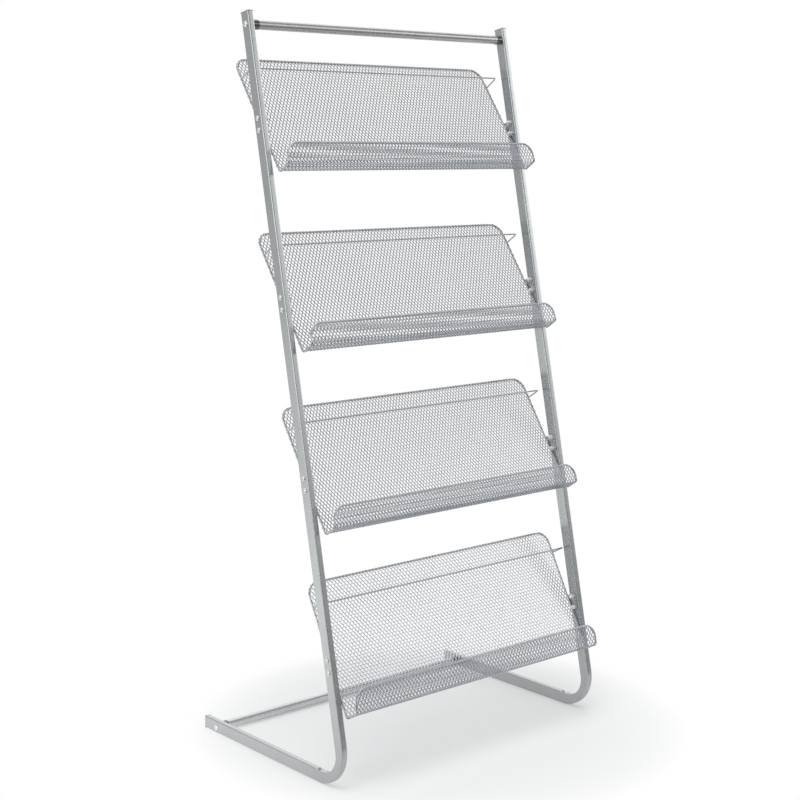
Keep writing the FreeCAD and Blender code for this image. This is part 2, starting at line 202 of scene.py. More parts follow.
def plastic(name, base, rough, grain=0.12, scale=900.0, metallic=0.0, coat=0.0):
    m, nt, p = material(name)
    p.inputs["Metallic"].default_value = metallic
    p.inputs["Coat Weight"].default_value = coat
    p.inputs["Coat Roughness"].default_value = 0.06
    c = coords(nt)
    n = noise(nt, 90.0, 3.0, 0.5, c)
    r = ramp(nt, n.outputs[0], [(0.3, [v * 0.8 for v in base]), (0.7, [v * 1.2 for v in base])])
    nt.links.new(r.outputs[0], p.inputs["Base Color"])
    nt.links.new(spread(nt, n.outputs[0], rough * 0.85, rough * 1.2), p.inputs["Roughness"])
    g = noise(nt, scale, 3.0, 0.6, c)
    bump(nt, p, g.outputs[0], grain, 0.0003)
    return m


FRAME = silver("frame_silver_paint", (0.495, 0.515, 0.52), 0.75, 0.22, 0.35, vary=0.02)
BAR = silver("bar_silver_paint", (0.625, 0.63, 0.642), 0.75, 0.27, 0.4, orange=0.05)
MESH = silver("mesh_silver_paint", (0.488, 0.512, 0.546), 0.7, 0.25, 0.2, orange=0.08)
WIRE = silver("wire_silver_paint", (0.555, 0.572, 0.592), 0.7, 0.25, 0.35, orange=0.06)
CAPM = plastic("end_cap_plastic", (0.035, 0.035, 0.037), 0.45)
BUSHM = plastic("bushing_plastic", (0.2, 0.2, 0.205), 0.12, grain=0.03, metallic=0.85, coat=0.8)
ZINC = plated("zinc_plate", (0.93, 0.93, 0.93), 0.28, 0.7)


# ---------------------------------------------------------------------- pieces
def put(name, verts, faces, mat, nodes, smooth=True, sharp=None, hard=None):
    me = bpy.data.meshes.new(name)
    v = to_world(verts)
    me.from_pydata([tuple(a) for a in v], [], faces)
    me.update()
    me.validate()
    me.polygons.foreach_set("use_smooth", [smooth] * len(me.polygons))
    if sharp is not None:
        me.set_sharp_from_angle(angle=math.radians(sharp))
    me.materials.append(mat)
    o = bpy.data.objects.new(name, me)
    bpy.context.scene.collection.objects.link(o)
    if hard:
        w = o.modifiers.new("even_flats", "WEIGHTED_NORMAL")
        w.mode = "FACE_AREA"
        w.weight = 50
        w.keep_sharp = True
    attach(o, "root")
    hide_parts(*nodes)
    return o


class Build:
    """Collects vertices and faces of several closed shells."""

    def __init__(self):
        self.v, self.f, self.n = [], [], 0

    def add(self, v, f):
        v = np.asarray(v, float).reshape(-1, 3)
        self.v.append(v)
        self.f += [tuple(i + self.n for i in q) for q in f]
        self.n += len(v)

    def verts(self):
        return np.concatenate(self.v)


def rings(loops, close_ends=True, closed=False):
    """Faces between equal rings of points given as an (m, k, 3) array."""
    loops = np.asarray(loops, float)
    m, k = loops.shape[:2]
    f = []
    for a in range(m if closed else m - 1):
        b = (a + 1) % m
        for j in range(k):
            l = (j + 1) % k
            f.append((a * k + j, a * k + l, b * k + l, b * k + j))
    if close_ends and not closed:
        f.append(tuple(range(k - 1, -1, -1)))
        f.append(tuple((m - 1) * k + j for j in range(k)))
    return loops.reshape(-1, 3), f


# side frames ------------------------------------------------------------------
def tube_profile():
    """Points round the tube's section as (x from its middle, depth from the
    outside-of-bend face), with the bend's inner wall finely divided."""
    hx, r = TW / 2, TR
    pts = []

    def corner(cx, cy, a0):
        for k in range(7):
            a = math.radians(a0 + 15 * k)
            pts.append((cx + r * math.cos(a), cy + r * math.sin(a)))

    corner(hx - r, r, -90)
    pts.append((hx, TD * 0.35))
    pts.append((hx, TD * 0.65))
    corner(hx - r, TD - r, 0)
    for k in range(1, 10):
        pts.append((hx - r - (TW - 2 * r) * k / 10, TD))
    corner(-(hx - r), TD - r, 90)
    pts.append((-hx, TD * 0.65))
    pts.append((-hx, TD * 0.35))
    corner(-(hx - r), r, 180)
    return np.array(pts)


def smooth(a, b, x):
    t = min(1.0, max(0.0, (x - a) / (b - a)))
    return t * t * (3 - 2 * t)


INNER_R = 39.0


def drawn_in(a):
    """How far the tube's rear edge is drawn towards the outside of the bend at
    angle a round it: the edge turns tighter than a tube of full depth would."""
    if a <= 0 or a >= 101.4:
        return 0.0
    mid = math.radians(50.7)
    off = (BEND - TD - INNER_R) / math.sin(math.radians(39.3))
    d = abs(math.radians(a) - mid)
    if d < mid - math.atan(off * math.sin(mid) / (BEND - TD)):
        rho = off * math.cos(d) + math.sqrt(INNER_R ** 2 - (off * math.sin(d)) ** 2)
    else:
        rho = (BEND - TD) / math.cos(mid - d)
    return rho - (BEND - TD)


def crush(w, side):
    """How far the bend's inner wall is pressed in at path position w, measured
    in degrees round the bend (negative on the leg)."""
    k = 1.0 if side < 0 else 0.85
    main = smooth(-9, 4, w) * (1 - smooth(84, 104, w))
    first = math.exp(-((w + 1.0) / 3.6) ** 2)
    second = math.exp(-((w - 16.0) / 5.0) ** 2)
    return k * (1.7 * main + 4.2 * first + 3.3 * second)


def side_frame(side):
    prof = tube_profile()
    cx = side * (HALF - TW / 2)
    st = []
    for y in [LEG - CAP_T, LEG - CAP_T - 1.5, 440, 400, 340, 280, 220, 170, 140, 120, 110]:
        st.append(("leg", y))
    for y in np.arange(104, 75.1, -2.0):
        st.append(("leg", float(y)))
    for a in np.arange(0, 101.41, 1.3):
        st.append(("arc", float(a)))
    for s in [0, 4, 10, 20, 40, 80]:
        st.append(("post", float(s)))
    for s in list(np.linspace(120, S_TOP - 20, 14)) + [S_TOP - CAP_T - 1.5, S_TOP - CAP_T]:
        st.append(("post", float(s)))
    loops = []
    for kind, q in st:
        w = -(q - BEND) / BEND * 57.3 * 1.4 if kind == "leg" else (q if kind == "arc" else 101.4 + q / BEND * 57.3)
        c = crush(w, side)
        bulge = 0.18 * smooth(-10, 12, w) * (1 - smooth(90, 112, w))
        ring = []
        draw = drawn_in(q) if kind == "arc" else 0.0
        for x, d in prof:
            flat = max(0.0, 1 - (abs(x) / (TW / 2 - 0.35)) ** 2.2)
            if d > TD - TR - 0.01:
                d = d - c * flat ** 0.8
                if abs(x) > TW / 2 - TR - 0.01:
                    d -= 0.22 * c * (d - (TD - TR)) / TR
            x = x * (1 + bulge * 2 / TW * math.sin(math.pi * min(1, d / TD)))
            d -= draw * max(0.0, d / TD - 0.35) / 0.65
            if kind == "leg":
                ring.append((cx + x, q, d))
            elif kind == "arc":
                a = math.radians(q)
                r = BEND - d
                ring.append((cx + x, BEND - r * math.sin(a), BEND - r * math.cos(a)))
            else:
                y, z = on_post(q, -d)
                ring.append((cx + x, y, z))
        loops.append(ring)
    return rings(loops)


def cap_shape(side, top):
    """Tube end cap: thin flange with softened edges and a hollow plug inside."""
    b = Build()

    def section(inset, r, n=5):
        hx, y0, y1 = TW / 2 - inset, inset, TD - inset
        pts = []
        for cx, cy, a0 in ((hx - r, y0 + r, -90), (hx - r, y1 - r, 0), (-(hx - r), y1 - r, 90), (-(hx - r), y0 + r, 180)):
            for k in range(n):
                a = math.radians(a0 + 90 * k / (n - 1))
                pts.append((cx + r * math.cos(a), cy + r * math.sin(a)))
        return pts

    def at(pts, depth):
        out = []
        for x, d in pts:
            X = side * (HALF - TW / 2) + x
            if top:
                y, z = on_post(S_TOP - depth, -d)
                out.append((X, y, z))
            else:
                out.append((X, LEG - depth, d))
        return out

    layers = [(0.35, 0.5, 0.0), (0.12, 0.7, 0.08), (0.0, CAP_R, 0.3), (0.0, CAP_R, CAP_T),
              (1.3, 1.7, CAP_T), (1.3, 1.7, 11.6), (1.6, 0.5, 12.0 + CAP_T), (2.9, 0.5, 12.0 + CAP_T), (2.9, 0.5, 2.4)]
    v, f = rings([at(section(i, r), d) for i, r, d in layers])
    b.add(v, f)
    return b


for side, word in ((-1, "left"), (1, "right")):
    v, f = side_frame(side)
    put(word + "_frame_tube", v, f, FRAME, [word + "_side_frame"], sharp=35, hard=True)
    for top, place in ((False, "leg"), (True, "upright")):
        b = cap_shape(side, top)
        put(word + "_" + place + "_end_cap", b.verts(), b.f, CAPM, [word + "_" + place + "_cap"], sharp=40)


# turned pieces on the X axis -----------------------------------------------
def lathe(profile, y, z, seg=40):
    """Closed shell from (x, r) points; first and last lie on the axis."""
    n = len(profile)
    v = [(profile[0][0], y, z)]
    for x, r in profile[1:-1]:
        for k in range(seg):
            a = 2 * math.pi * k / seg
            v.append((x, y + r * math.cos(a), z + r * math.sin(a)))
    v.append((profile[-1][0], y, z))
    f = []
    for k in range(seg):
        l = (k + 1) % seg
        f.append((0, 1 + l, 1 + k))
        for q in range(n - 3):
            a = 1 + q * seg
            f.append((a + k, a + l, a + seg + l, a + seg + k))
        a = 1 + (n - 3) * seg
        f.append((a + k, a + l, len(v) - 1))
    if profile[-1][0] < profile[0][0]:
        f = [tuple(reversed(q)) for q in f]
    return v, f


def arc(x0, r0, x1, r1, cx, cr, n):
    """Points of the arc about (cx, cr) from (x0, r0) to (x1, r1)."""
    a0, a1 = math.atan2(r0 - cr, x0 - cx), math.atan2(r1 - cr, x1 - cx)
    if a1 - a0 > math.pi:
        a1 -= 2 * math.pi
    if a0 - a1 > math.pi:
        a1 += 2 * math.pi
    R = math.hypot(x0 - cx, r0 - cr)
    return [(cx + R * math.cos(a0 + (a1 - a0) * k / n), cr + R * math.sin(a0 + (a1 - a0) * k / n)) for k in range(n + 1)]


def screw(b, y, z, side, d, h, reach, x_face, af=4.0, depth=1.9, seg=48):
    """Button-head screw with a hexagon socket, seen from outside."""
    R = d / 2
    rim = 0.65
    rise = h - rim
    flat = af / 2 + 0.75
    big = (R * R - flat * flat + rise * rise) / (2 * rise)
    big = math.sqrt(flat * flat + big * big)
    cxd = h - math.sqrt(big * big - flat * flat)
    prof = [(-reach, 0), (-reach, 1.9), (-reach + 0.9, 2.95), (0, 2.95), (0, R - 0.25), (0.12, R - 0.06), (0.3, R), (rim, R)]
    for k in range(1, 9):
        r = R + (flat - R) * k / 8
        prof.append((cxd + math.sqrt(max(0, big * big - r * r)), r))
    v, f = [], []
    rows = prof[1:]
    v.append((prof[0][0], 0, 0))
    for x, r in rows:
        for k in range(seg):
            a = 2 * math.pi * k / seg
            v.append((x, r * math.cos(a), r * math.sin(a)))
    hexr = []
    for k in range(seg):
        a = 2 * math.pi * k / seg
        q = (a + math.pi / 6) % (math.pi / 3) - math.pi / 6
        hexr.append(af / 2 / math.cos(q))
    for grow, x in ((1.09, h), (1.0, h - 0.18), (1.0, h - depth)):
        for k in range(seg):
            a = 2 * math.pi * k / seg
            v.append((x, hexr[k] * grow * math.cos(a), hexr[k] * grow * math.sin(a)))
    v.append((h - depth - 0.35, 0, 0))
    m = len(rows) + 3
    for k in range(seg):
        l = (k + 1) % seg
        f.append((0, 1 + l, 1 + k))
        for q in range(m - 1):
            a = 1 + q * seg
            f.append((a + k, a + l, a + seg + l, a + seg + k))
        a = 1 + (m - 1) * seg
        f.append((a + k, a + l, len(v) - 1))
    v = np.array(v, float)
    v[:, 0] = side * (x_face + v[:, 0])
    v[:, 1] += y
    v[:, 2] += z
    if side < 0:
        f = [tuple(reversed(q)) for q in f]
    b.add(v, f)


def cap_nut(b, y, z, side, turn, af=10.0, hexa=5.0, total=11.0, dome=9.4, seg=60):
    """Domed cap nut: chamfered hexagon, short neck, round dome. Grows inwards from the tab."""
    rows = []
    rc = af / 2 + 0.12
    e = af / math.sqrt(3) + 0.05
    for x, cone in ((0.0, rc - 0.05), (0.02, rc), (0.28, (rc + e) / 2), (0.6, e), (hexa - 0.6, e), (hexa - 0.28, (rc + e) / 2), (hexa - 0.02, rc)):
        row = []
        for k in range(seg):
            a = 2 * math.pi * k / seg
            q = (a - turn + math.pi / 6) % (math.pi / 3) - math.pi / 6
            row.append((x, min(af / 2 / math.cos(q), cone)))
        rows.append(row)
    R = dome / 2
    neck = total - R
    for x, r in [(hexa + 0.02, rc - 0.12), (hexa + 0.05, R + 0.1), (hexa + 0.3, R), (neck, R)]:
        rows.append([(x, r)] * seg)
    for k in range(1, 8):
        t = math.pi / 2 * k / 8
        rows.append([(neck + R * math.sin(t), R * math.cos(t))] * seg)
    v = [(0.0, 0, 0)]
    for row in rows:
        for k, (x, r) in enumerate(row):
            a = 2 * math.pi * k / seg
            v.append((x, r * math.cos(a), r * math.sin(a)))
    v.append((total, 0, 0))
    f = []
    m = len(rows)
    for k in range(seg):
        l = (k + 1) % seg
        f.append((0, 1 + l, 1 + k))
        for q in range(m - 1):
            a = 1 + q * seg
            f.append((a + k, a + l, a + seg + l, a + seg + k))
        a = 1 + (m - 1) * seg
        f.append((a + k, a + l, len(v) - 1))
    v = np.array(v, float)
    v[:, 0] = side * (TAB_IN - v[:, 0])
    v[:, 1] += y
    v[:, 2] += z
    if side > 0:
        f = [tuple(reversed(q)) for q in f]
    b.add(v, f)


# crossbars --------------------------------------------------------------------
def shell(outer, inner, y, z, seg=64):
    """Closed ring-shaped shell: outer and inner are matching (x, r) lists."""
    prof = outer + inner
    v, f = [], []
    for x, r in prof:
        for k in range(seg):
            a = 2 * math.pi * k / seg
            v.append((x, y + r * math.cos(a), z + r * math.sin(a)))
    n = len(prof)
    for q in range(n):
        p = (q + 1) % n
        for k in range(seg):
            l = (k + 1) % seg
            f.append((q * seg + k, q * seg + l, p * seg + l, p * seg + k))
    return v, f


for word, (y, z) in (("top", on_post(BAR_S, MID_N)), ("rear", (BAR_Y, BAR_Z))):
    x1 = INNER - BUSH_L
    R, w = BAR_D / 2, 1.2
    xs = list(np.linspace(-x1 + 0.3, x1 - 0.3, 15))
    outer = [(-x1, R - 0.3)] + [(x, R) for x in xs] + [(x1, R - 0.3)]
    inner = [(x1, R - w), (-x1, R - w)]
    v, f = shell(outer, inner, y, z)
    put(word + "_crossbar_tube", v, f, BAR, [word + "_crossbar"], sharp=35)
    for side, s in ((-1, "left"), (1, "right")):
        R = BUSH_D / 2
        a, c, e = INNER, INNER - BUSH_L, INNER - BUSH_L - BUSH_PLUG
        prof = [(a, 0)] + arc(a, R - 1.1, a - 1.1, R, a - 1.1, R - 1.1, 6)
        prof += [(a - 4, R), (c + 4, R)] + arc(c + 0.7, R, c, R - 0.7, c + 0.7, R - 0.7, 5)
        prof += [(c, 8.0), (c - 0.05, 7.95), (e + 1, 7.95), (e, 7.0), (e, 0)]
        prof = [(side * x, r) for x, r in prof]
        v, f = lathe(prof, y, z, 56)
        put(word + "_" + s + "_bar_bushing", v, f, BUSHM, [word + "_crossbar_" + s + "_bushing"], sharp=38)
    b = Build()
    for side in (-1, 1):
        screw(b, y, z, side, 12.0, 2.87, 38.0, HALF, af=3.0, depth=1.2)
    put(word + "_bar_screws", b.verts(), b.f, ZINC, [word + "_crossbar_screws"], sharp=35)


# wires ------------------------------------------------------------------------
def route(points, radii, step_deg=7.5):
    """Centre line of a bent wire: straight runs and arcs, as points."""
    P = [np.array(p, float) for p in points]
    out = []
    for k, p in enumerate(P):
        if k in (0, len(P) - 1):
            out.append(p)
            continue
        u = P[k - 1] - p
        w = P[k + 1] - p
        u /= np.linalg.norm(u)
        w /= np.linalg.norm(w)
        ang = math.acos(max(-1, min(1, float(u @ w))))
        r = radii[k]
        cut = r / math.tan(ang / 2)
        bis = (u + w) / np.linalg.norm(u + w)
        c = p + bis * (r / math.sin(ang / 2))
        s, e = p + u * cut - c, p + w * cut - c
        turn = math.pi - ang
        n = max(2, int(math.degrees(turn) / step_deg + 0.5))
        for q in range(n + 1):
            t = q / n
            out.append(c + (s * math.sin((1 - t) * turn) + e * math.sin(t * turn)) / math.sin(turn))
    return np.array(out)


def wire(points, r, seg=14, start=None, long_step=60.0):
    """Round tube along points, with parallel frames and no ends closed."""
    pts = [points[0]]
    for a, b in zip(points[:-1], points[1:]):
        d = np.linalg.norm(b - a)
        n = max(1, int(d / long_step))
        for q in range(1, n + 1):
            pts.append(a + (b - a) * q / n)
    pts = np.array(pts)
    tang = np.zeros_like(pts)
    tang[1:-1] = pts[2:] - pts[:-2]
    tang[0], tang[-1] = pts[1] - pts[0], pts[-1] - pts[-2]
    # at a bend's first and last point the run beside it is much longer than the arc's step
    for k in range(1, len(pts) - 1):
        a, b = pts[k] - pts[k - 1], pts[k + 1] - pts[k]
        tang[k] = a / np.linalg.norm(a) + b / np.linalg.norm(b)
    tang /= np.linalg.norm(tang, axis=1)[:, None]
    e1 = np.array(start, float)
    loops = []
    for p, t in zip(pts, tang):
        e1 = e1 - t * (e1 @ t)
        e1 /= np.linalg.norm(e1)
        e2 = np.cross(t, e1)
        loops.append([p + r * (e1 * math.cos(a) + e2 * math.sin(a)) for a in np.arange(seg) * 2 * math.pi / seg])
    return np.array(loops)


def lip_pt(x, d, o=0.0):
    """On the lip: d up from the front fold's sharp corner, o outwards of it."""
    return (x, -SHELF - d * math.sin(FLARE) - o * math.cos(FLARE), d * math.cos(FLARE) - o * math.sin(FLARE))


def rim_loop(lip):
    half = [((0, 0, BACK), 0), ((RIM_X, 0, BACK), R_BACK), ((RIM_X, 0, 0), FOLD), ((RIM_X, -SHELF, 0), FOLD),
            (lip_pt(RIM_X, lip), R_LIP), (lip_pt(0, lip), 0)]
    return [h[0] for h in half], [h[1] for h in half]


def mirror_close(loops):
    """A half loop of rings from x = 0 to x = 0, joined to its mirror image."""
    other = loops[1:-1][::-1].copy()
    other[:, :, 0] *= -1
    return np.concatenate([loops, other])


RIM_SEG = 14


def rim_shape(lip):
    pts, rad = rim_loop(lip)
    return mirror_close(wire(route(pts, rad, 6.0), RIM, RIM_SEG, start=(0, 0, 1)))


# expanded mesh --------------------------------------------------------------
COUNTS = [(155, 50), (165, 49), (155, 50), (155, 49)]
X_EDGE = RIM_X - RIM + 0.15
ARC1 = FOLD * math.pi / 2
ARC2 = FOLD * (math.pi / 2 - FLARE)
FLAT1 = BACK - FOLD
FLAT2 = SHELF - FOLD - SET2
U0, SPAN = RIM - 0.3, 325.84
STRAND, SHEET_T, TWIST, KNOT, MERGE = 1.5, 1.2, math.radians(6), 1.0, 0.4


def panel_end(lip):
    """Where the lip's rim wire runs, measured down the folded panel."""
    return FLAT1 + ARC1 + FLAT2 + ARC2 + lip - SET2


def fold_map(x, u, n):
    """Panel coordinates to tray ones: u runs down the back from the rim's top
    wire, along the shelf and up the lip; n is the height on the reader's side."""
    x, u, n = np.broadcast_arrays(np.asarray(x, float), np.asarray(u, float), np.asarray(n, float))
    y, z = np.zeros_like(u), np.zeros_like(u)
    a = u <= FLAT1
    y[a], z[a] = -n[a], BACK - u[a]
    q = u - FLAT1
    a = (q > 0) & (q <= ARC1)
    p = q[a] / FOLD
    rr = FOLD - n[a]
    y[a], z[a] = -(FOLD - rr * np.cos(p)), FOLD - rr * np.sin(p)
    q = q - ARC1
    a = (q > 0) & (q <= FLAT2)
    y[a], z[a] = -(FOLD + q[a]), n[a]
    q = q - FLAT2
    a = (q > 0) & (q <= ARC2)
    p = q[a] / FOLD
    rr = FOLD - n[a]
    y[a], z[a] = -(SHELF - SET2 + rr * np.sin(p)), FOLD - rr * np.cos(p)
    q = q - ARC2
    a = q > 0
    d = SET2 + q[a]
    y[a] = -(SHELF + d * math.sin(FLARE) - n[a] * math.cos(FLARE))
    z[a] = d * math.cos(FLARE) + n[a] * math.sin(FLARE)
    return np.stack([x, y, z], -1)


def u_limits(x, lip):
    """Where a strand at x starts and ends inside the rounded corners."""
    ax = abs(x)
    e = RIM_X - ax
    end = panel_end(lip)
    u_lo, u_hi = U0, end - RIM + 0.3
    if e < R_BACK:
        c = R_BACK - math.sqrt(max(0.0, (R_BACK - RIM + 0.3) ** 2 - (R_BACK - e) ** 2))
        u_lo = max(u_lo, c)
    if e < R_LIP:
        c = R_LIP - math.sqrt(max(0.0, (R_LIP - RIM + 0.3) ** 2 - (R_LIP - e) ** 2))
        u_hi = min(u_hi, end - c)
    return u_lo, u_hi


def strands(COLS, ROWS, lip):
    """All the zigzag strands of one panel as one mesh in tray coordinates."""
    CELL_X, CELL_U = 2 * X_EDGE / COLS, SPAN / ROWS
    w = STRAND
    amp = CELL_X / 2 - w / 2 * math.cos(TWIST) + MERGE
    dz = w / 2 * math.sin(TWIST)
    cw, sw = math.cos(TWIST), math.sin(TWIST)
    hw, ht = w / 2, SHEET_T / 2
    corners = [(hw * cw + ht * sw, -hw * sw + ht * cw), (hw * cw - ht * sw, -hw * sw - ht * cw),
               (-hw * cw - ht * sw, hw * sw - ht * cw), (-hw * cw + ht * sw, hw * sw + ht * cw)]
    V, F = [], []
    n = 0
    for c in range(COLS):
        xc = -X_EDGE + (c + 0.5) * CELL_X
        lo_u, hi_u = u_limits(xc, lip)
        st = []
        for j in range(int((panel_end(lip) - U0) / CELL_U) + 2):
            s = 1 if (j + c) % 2 == 0 else -1
            uj = U0 + j * CELL_U
            for du in (-KNOT, KNOT):
                st.append((uj + du, s * amp, s * dz))
        us = np.array([a[0] for a in st])
        xs = np.array([a[1] for a in st])
        zs = np.array([a[2] for a in st])
        keep = [u for u in us if lo_u < u < hi_u]
        grid = np.array([lo_u] + keep + [hi_u])
        gx = np.interp(grid, us, xs) + xc
        gz = np.interp(grid, us, zs)
        for k, (ox, oz) in enumerate(corners):
            V.append(fold_map(gx + ox, grid, gz + oz))
        m = len(grid)
        for a in range(m - 1):
            for k in range(4):
                l = (k + 1) % 4
                F.append((n + k * m + a, n + l * m + a, n + l * m + a + 1, n + k * m + a + 1))
        F.append(tuple(n + k * m for k in (3, 2, 1, 0)))
        F.append(tuple(n + k * m + m - 1 for k in range(4)))
        n += 4 * m
    return np.concatenate([a.reshape(-1, 3) for a in V]), F


def wraps(COLS, ROWS):
    """Strand ends folded round the rim wire: along the top and both sides of the back."""
    CELL_X, CELL_U = 2 * X_EDGE / COLS, SPAN / ROWS
    b = Build()

    def strap(c, along, inward, front, width, span=(-168, 150), r=RIM + 0.02, t=0.7, n=12):
        """Strip round the wire at c. inward points into the panel."""
        c, along, inward, front = (np.array(q, float) for q in (c, along, inward, front))
        rows = []
        for k in range(n + 1):
            a = math.radians(span[0] + (span[1] - span[0]) * k / n)
            d = -inward * math.cos(a) + front * math.sin(a)
            taper = 1.0 if 0 < k < n else 0.8
            i, o = c + d * (r - 0.1), c + d * (r + t * (1.0 if 0 < k < n else 0.55))
            h = along * width / 2 * taper
            rows.append([i - h, i + h, o + h * 0.86, o - h * 0.86])
        v, f = rings(rows)
        b.add(v, f)

    # along the top wire: each pair of strands that meets there
    for c in range(COLS - 1):
        if c % 2 == 0:
            x = -X_EDGE + (c + 1) * CELL_X
            if abs(x) < RIM_X - R_BACK - 1:
                strap((x, 0, BACK), (1, 0, 0), (0, 0, -1), (0, -1, 0), 3.1)
    for side in (-1, 1):
        for j in range(ROWS + 1):
            c = COLS - 1 if side > 0 else 0
            s = 1 if (j + c) % 2 == 0 else -1
            if s != side:
                continue
            u = U0 + j * CELL_U
            if R_BACK + 2 < u < FLAT1 - 4:
                t = BACK - u
                if BOLT_T - 16 < t < BOLT_T + GAP + 16:
                    continue
                strap((side * RIM_X, 0, t), (0, 0, 1), (-side, 0, 0), (0, -1, 0), 2.9)
        # round the two back corners
        for k in range(1, 5):
            a = math.radians(90 * k / 5)
            d = np.array([side * math.sin(a), 0, math.cos(a)])
            cc = np.array([side * (RIM_X - R_BACK), 0, BACK - R_BACK]) + d * R_BACK
            al = np.array([side * math.cos(a), 0, -math.sin(a)])
            strap(cc, al, -d, (0, -1, 0), 2.7)
    return b


def tab_shape(i, side):
    """Tab plate in tray coordinates, with softened edges."""
    be = math.radians(TILT[i])
    sb, cb = math.sin(be), math.cos(be)

    def local(ds, dn):
        return np.array([-(BOLT_F + ds * sb + dn * cb), BOLT_T + ds * cb - dn * sb])

    rear, front, m = -2.6, 7.0, 6.0

    def back(ds):
        return (rear - BOLT_F - ds * sb) / cb

    q = [local(-m, front), local(GAP + m, front), local(GAP + 2.0, back(GAP + 2.0)), local(-m, back(-m))]
    out = []
    r = 4.0
    for k in range(4):
        p, a, b = q[k], q[k - 1], q[(k + 1) % 4]
        u, w = (a - p) / np.linalg.norm(a - p), (b - p) / np.linalg.norm(b - p)
        ang = math.acos(float(u @ w))
        c = p + (u + w) / np.linalg.norm(u + w) * (r / math.sin(ang / 2))
        s, e = p + u * (r / math.tan(ang / 2)) - c, p + w * (r / math.tan(ang / 2)) - c
        turn = math.pi - ang
        for t in np.linspace(0, 1, 7):
            out.append(c + (s * math.sin((1 - t) * turn) + e * math.sin(t * turn)) / math.sin(turn))
    out = np.array(out)
    mid = out.mean(0)
    x0, x1 = (TAB_IN, INNER) if side > 0 else (-INNER, -TAB_IN)
    loops = []
    for x, inset in ((x0, 0.22), (x0 + 0.06, 0.07), (x0 + 0.22, 0.0), (x1 - 0.22, 0.0), (x1 - 0.06, 0.07), (x1, 0.22)):
        d = out - mid
        ring = mid + d * (1 - inset / np.linalg.norm(d, axis=1))[:, None]
        loops.append([(x, p[0], p[1]) for p in ring])
    v, f = rings(loops)
    # the ring runs clockwise or anticlockwise with the corner order; make it face outwards
    a = np.array(loops[0])
    area = sum(a[k][1] * a[(k + 1) % len(a)][2] - a[(k + 1) % len(a)][1] * a[k][2] for k in range(len(a)))
    if area < 0:
        f = [tuple(reversed(t)) for t in f]
    return v, f


def weld(b, p, along, out, length, r=1.0, n=9):
    """A low, lumpy bead of weld beside a wire."""
    p, along, out = np.array(p, float), np.array(along, float), np.array(out, float)
    side = np.cross(along, out)
    rows = []
    for k in range(n + 1):
        t = k / n
        swell = math.sin(math.pi * min(1, max(0, t))) ** 0.35
        lump = 1 + 0.12 * math.cos(t * math.pi * 2 * (length / 2.4))
        rr = max(0.08, r * swell * lump)
        c = p + along * (t - 0.5) * length
        rows.append([c + rr * (out * math.sin(a) + side * math.cos(a)) for a in np.arange(8) * math.pi / 4])
    v, f = rings(rows)
    b.add(v, f)


keep_pts = [(RIM_X, -1.2, KEEP_T), (RIM_X, -KEEP_OUT, KEEP_T), (0, -KEEP_OUT, KEEP_T)]
keep_half = wire(route(keep_pts, [0, KEEP_BEND, 0], 7.5), KEEP, 14, start=(0, 0, 1))


def keep_loop():
    other = keep_half[:-1][::-1].copy()
    other[:, :, 0] *= -1
    return rings(np.concatenate([keep_half, other]))


for i, name in enumerate(TRAYS):
    mesh_v, mesh_f = strands(*COUNTS[i], LIPS[i])
    wrap_b = wraps(*COUNTS[i])
    put(name + "_expanded_mesh", lean(i, mesh_v), mesh_f, MESH, [name + "_mesh_panel"], smooth=False)
    b = Build()
    b.add(*rings(rim_shape(LIPS[i]), closed=True))
    rim = b
    rim.add(wrap_b.verts(), wrap_b.f)
    for side in (-1, 1):
        for ds in (-2, GAP + 2):
            be = math.radians(TILT[i])
            t = BOLT_T + ds * math.cos(be)
            weld(rim, (side * (RIM_X + 1.55), -1.9, t), (0, 0, 1), (0, -1, 0), 9.0, 1.15)
    put(name + "_rim", lean(i, rim.verts()), rim.f, WIRE, [name + "_rim_wire"], sharp=50)
    b = Build()
    b.add(*keep_loop())
    for side in (-1, 1):
        weld(b, (side * RIM_X, -2.0, KEEP_T + 1.5), (0, 0, 1), (0, -1, 0), 4.0, 1.0, 6)
    put(name + "_retainer", lean(i, b.verts()), b.f, WIRE, [name + "_retaining_wire"], sharp=60)
    for side, word in ((-1, "left"), (1, "right")):
        v, f = tab_shape(i, side)
        put(name + "_" + word + "_tab_plate", lean(i, v), f, FRAME, [name + "_" + word + "_tab"], sharp=30)
    mid = FIRST + i * PITCH
    spots = [on_post(mid - GAP / 2, MID_N), on_post(mid + GAP / 2, MID_N)]
    b = Build()
    for side in (-1, 1):
        for y, z in spots:
            screw(b, y, z, side, 10.5, 3.1, 21.8, HALF, af=3.0, depth=1.2)
    put(name + "_bolt_set", b.verts(), b.f, ZINC, [name + "_bolts"], sharp=35)
    b = Build()
    turn = math.radians(90.0) - tray_place(i)[2] + math.radians(30)
    for side in (-1, 1):
        for y, z in spots:
            cap_nut(b, y, z, side, turn)
    put(name + "_cap_nut_set", b.verts(), b.f, ZINC, [name + "_cap_nuts"], sharp=30)


